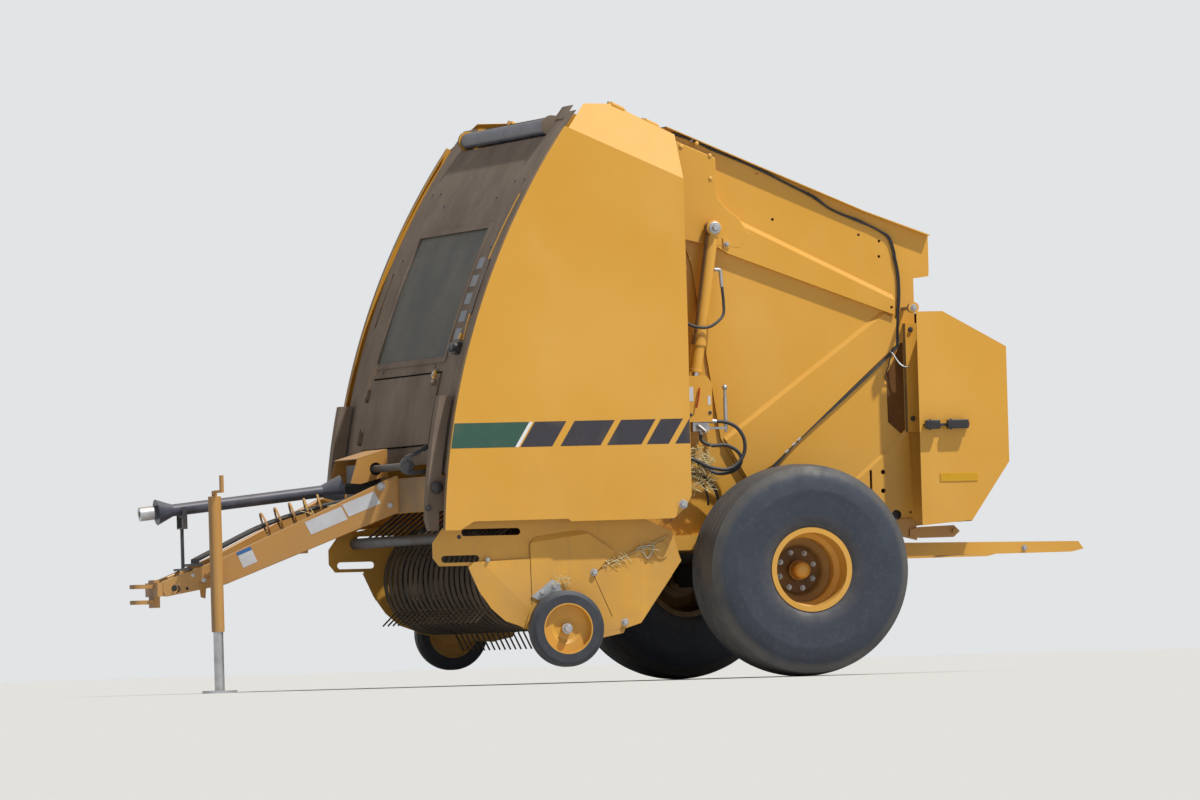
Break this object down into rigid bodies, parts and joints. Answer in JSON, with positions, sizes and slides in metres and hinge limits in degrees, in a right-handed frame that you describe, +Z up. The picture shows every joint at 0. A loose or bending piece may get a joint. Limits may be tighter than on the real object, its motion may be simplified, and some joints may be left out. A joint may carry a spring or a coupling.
{
  "type": "round baler",
  "caption": "Towed round hay baler with tined pickup, side shields, lifting tailgate, net cover, A-frame tongue, driveline and parking jack.",
  "frame": {"origin": "on the floor under the middle of the machine's length and width", "axes": "+X to the rear, +Y to the machine's right-hand side, +Z up"},
  "size_m": [5.22, 2.657, 3.1307],
  "materials": {
    "paint": "sun-warmed gloss enamel with hay dust",
    "dusty_paint": "the same enamel under a thick coat of hay dust",
    "dark_steel": "dark satin enamel, dusty",
    "zinc": "zinc plated, dull",
    "tyre": "dusty blue-black rubber with ribs",
    "belt": "fabric-faced rubber belting",
    "hose": "smooth black hose",
    "net": "wound net, off-white",
    "screen": "dark woven screen",
    "reel_steel": "worn spring steel"
  },
  "bodies": {
    "frame": {"side_wall_left": "paint", "side_wall_right": "paint", "cross_frame": "paint", "lower_rails": "paint", "shield_brackets": "paint", "cylinder_feet": "paint", "front_posts": "dusty_paint", "axle_beam": "dark_steel", "front_hood": "dusty_paint", "window_screen": "screen", "front_rollers": "dark_steel", "front_belts": "belt", "starter_roller": "dark_steel", "tongue": "paint", "hitch_clevis": "zinc", "jack_tube": "paint", "gearbox": "dark_steel", "gearbox_shield": "paint", "driveline_stand": "dark_steel", "chain_drive": "dark_steel", "tongue_hoses": "hose", "valve_block": "zinc", "valve_hoses": "hose", "bale_ramp": "paint"},
    "jack_leg": {"jack_leg": "zinc"},
    "driveline": {"driveline": "dark_steel", "driveline_yoke": "zinc"},
    "front_door": {"access_door": "dusty_paint"},
    "left_shield": {"shield_left": "paint"},
    "right_shield": {"shield_right": "paint"},
    "tailgate": {"tailgate_wall_left": "paint", "tailgate_wall_right": "paint", "tailgate_roof": "paint", "tailgate_cable": "hose", "tailgate_rollers": "dark_steel", "tailgate_belts": "belt", "net_box": "paint", "net_roll": "net", "tailgate_feet": "dark_steel"},
    "net_cover": {"net_cover": "paint", "lamp_arm": "dark_steel"},
    "left_barrel": {"cylinder_barrel_left": "paint"},
    "right_barrel": {"cylinder_barrel_right": "paint"},
    "left_rod": {"cylinder_rod_left": "zinc"},
    "right_rod": {"cylinder_rod_right": "zinc"},
    "left_wheel": {"tyre_left": "tyre", "rim_left": "paint"},
    "right_wheel": {"tyre_right": "tyre", "rim_right": "paint"},
    "pickup": {"pickup_frame": "paint", "stripper_bands": "paint", "gauge_arms": "zinc"},
    "reel": {"pickup_reel": "reel_steel"},
    "left_gauge_wheel": {"gauge_wheel_left": "tyre"},
    "right_gauge_wheel": {"gauge_wheel_right": "tyre"},
    "windguard": {"windguard": "dark_steel"}
  },
  "joints": [
    {"name": "left_wheel_spin", "type": "hinge", "parent": "frame", "child": "left_wheel", "pos_m": [0.84, -1.1, 0.574], "axis": [0, 1, 0], "continuous": true},
    {"name": "right_wheel_spin", "type": "hinge", "parent": "frame", "child": "right_wheel", "pos_m": [0.84, 1.1, 0.574], "axis": [0, 1, 0], "continuous": true},
    {"name": "tailgate_lift", "type": "hinge", "parent": "frame", "child": "tailgate", "pos_m": [0.15, 0, 2.86], "axis": [0, -1, 0], "range_deg": [0, 55]},
    {"name": "left_barrel_turn", "type": "hinge", "parent": "tailgate", "child": "left_barrel", "pos_m": [0.473, -0.873, 2.438], "axis": [0, -1, 0], "range_deg": [-62.7, 2]},
    {"name": "left_rod_slide", "type": "slide", "parent": "left_barrel", "child": "left_rod", "axis": [-0.1536, 0, -0.9881], "range_m": [0, 0.488]},
    {"name": "right_barrel_turn", "type": "hinge", "parent": "tailgate", "child": "right_barrel", "pos_m": [0.473, 0.873, 2.438], "axis": [0, -1, 0], "range_deg": [-62.7, 2]},
    {"name": "right_rod_slide", "type": "slide", "parent": "right_barrel", "child": "right_rod", "axis": [-0.1536, 0, -0.9881], "range_m": [0, 0.488]},
    {"name": "left_shield_swing", "type": "hinge", "parent": "frame", "child": "left_shield", "pos_m": [0.07, -0.92, 3.033], "axis": [-0.9003, 0, 0.4352], "range_deg": [0, 70]},
    {"name": "right_shield_swing", "type": "hinge", "parent": "frame", "child": "right_shield", "pos_m": [0.07, 0.92, 3.033], "axis": [0.9003, 0, -0.4352], "range_deg": [0, 70]},
    {"name": "front_door_swing", "type": "hinge", "parent": "frame", "child": "front_door", "pos_m": [-1.082, 0.655, 1.5], "axis": [-0.2022, 0, -0.9793], "range_deg": [0, 100]},
    {"name": "driveline_lift", "type": "hinge", "parent": "frame", "child": "driveline", "pos_m": [-1.4, 0, 1.09], "axis": [0, 1, 0], "range_deg": [0, 25]},
    {"name": "jack_leg_slide", "type": "slide", "parent": "frame", "child": "jack_leg", "axis": [0, 0, 1], "range_m": [0, 0.3]},
    {"name": "pickup_lift", "type": "hinge", "parent": "frame", "child": "pickup", "pos_m": [0.08, 0, 0.7], "axis": [0, 1, 0], "range_deg": [-8, 6]},
    {"name": "reel_spin", "type": "hinge", "parent": "pickup", "child": "reel", "pos_m": [-0.6, 0, 0.585], "axis": [0, 1, 0], "continuous": true},
    {"name": "left_gauge_spin", "type": "hinge", "parent": "pickup", "child": "left_gauge_wheel", "pos_m": [-0.485, -1.082, 0.293], "axis": [0, 1, 0], "continuous": true},
    {"name": "right_gauge_spin", "type": "hinge", "parent": "pickup", "child": "right_gauge_wheel", "pos_m": [-0.485, 1.082, 0.293], "axis": [0, 1, 0], "continuous": true},
    {"name": "windguard_lift", "type": "hinge", "parent": "pickup", "child": "windguard", "pos_m": [-1.05, 0, 0.8], "axis": [0, -1, 0], "range_deg": [0, 10]},
    {"name": "net_cover_lift", "type": "hinge", "parent": "tailgate", "child": "net_cover", "pos_m": [1.575, 0, 1.985], "axis": [0, -1, 0], "range_deg": [0, 60]}
  ],
  "couplings": [
    {"joint": "left_barrel_turn", "follows": "tailgate_lift", "ratio": -1.104},
    {"joint": "left_rod_slide", "follows": "tailgate_lift", "m_per_rad": 0.49801},
    {"joint": "right_barrel_turn", "follows": "tailgate_lift", "ratio": -1.104},
    {"joint": "right_rod_slide", "follows": "tailgate_lift", "m_per_rad": 0.49801}
  ]
}
